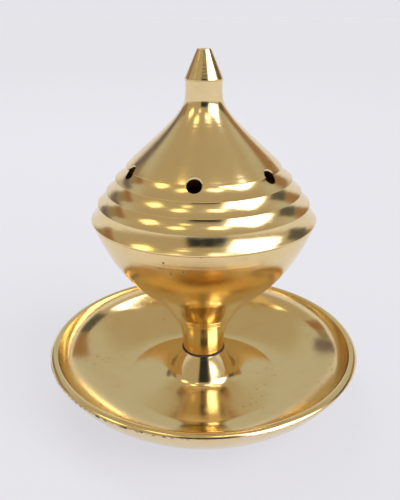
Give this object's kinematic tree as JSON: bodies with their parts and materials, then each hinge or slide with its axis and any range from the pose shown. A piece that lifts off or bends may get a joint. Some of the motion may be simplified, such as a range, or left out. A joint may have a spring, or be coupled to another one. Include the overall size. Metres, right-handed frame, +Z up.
{
  "type": "incense burner",
  "caption": "Table-top brass incense burner: saucer with a flared pedestal, round cup on a stem, pierced lid of coved bands and a cone finial.",
  "frame": {"origin": "centre of the underside of the saucer's foot ring, on the table", "axes": "+Z up along the turning axis; -Y towards one of the six smoke holes, the front"},
  "size_m": [0.105, 0.105, 0.1149],
  "materials": {
    "bright_brass": "polished and lightly brushed",
    "grate_brass": "dull, heat-tinted",
    "dark_washer": "dark, compressed",
    "zinc_steel": "zinc plated"
  },
  "bodies": {
    "base": {"saucer": "bright_brass", "tie_rod": "zinc_steel", "base_washer": "zinc_steel", "base_nut": "zinc_steel"},
    "stem_washer": {"joint_washer": "dark_washer"},
    "cup": {"cup": "bright_brass"},
    "grate": {"charcoal_grate": "grate_brass"},
    "finial": {"finial": "bright_brass"},
    "lid": {"lid": "bright_brass"}
  },
  "joints": [
    {"name": "cup_turn", "type": "hinge", "parent": "base", "child": "stem_washer", "pos_m": [0, 0, 0.0151], "axis": [0, 0, 1], "range_deg": [0, 2160]},
    {"name": "cup_rise", "type": "slide", "parent": "stem_washer", "child": "cup", "axis": [0, 0, 1], "range_m": [0, 0.006]},
    {"name": "lid_lift", "type": "slide", "parent": "cup", "child": "finial", "axis": [0, 0, 1], "range_m": [0, 0.06]},
    {"name": "lid_turn", "type": "hinge", "parent": "finial", "child": "lid", "pos_m": [0, 0, 0.1062], "axis": [0, 0, 1], "continuous": true},
    {"name": "grate_lift", "type": "slide", "parent": "cup", "child": "grate", "axis": [0, 0, 1], "range_m": [0, 0.0245]}
  ],
  "couplings": [
    {"joint": "cup_rise", "follows": "cup_turn", "m_per_rad": 0.00015915},
    {"joint": "grate_lift", "follows": "lid_lift", "ratio": 0.4}
  ]
}
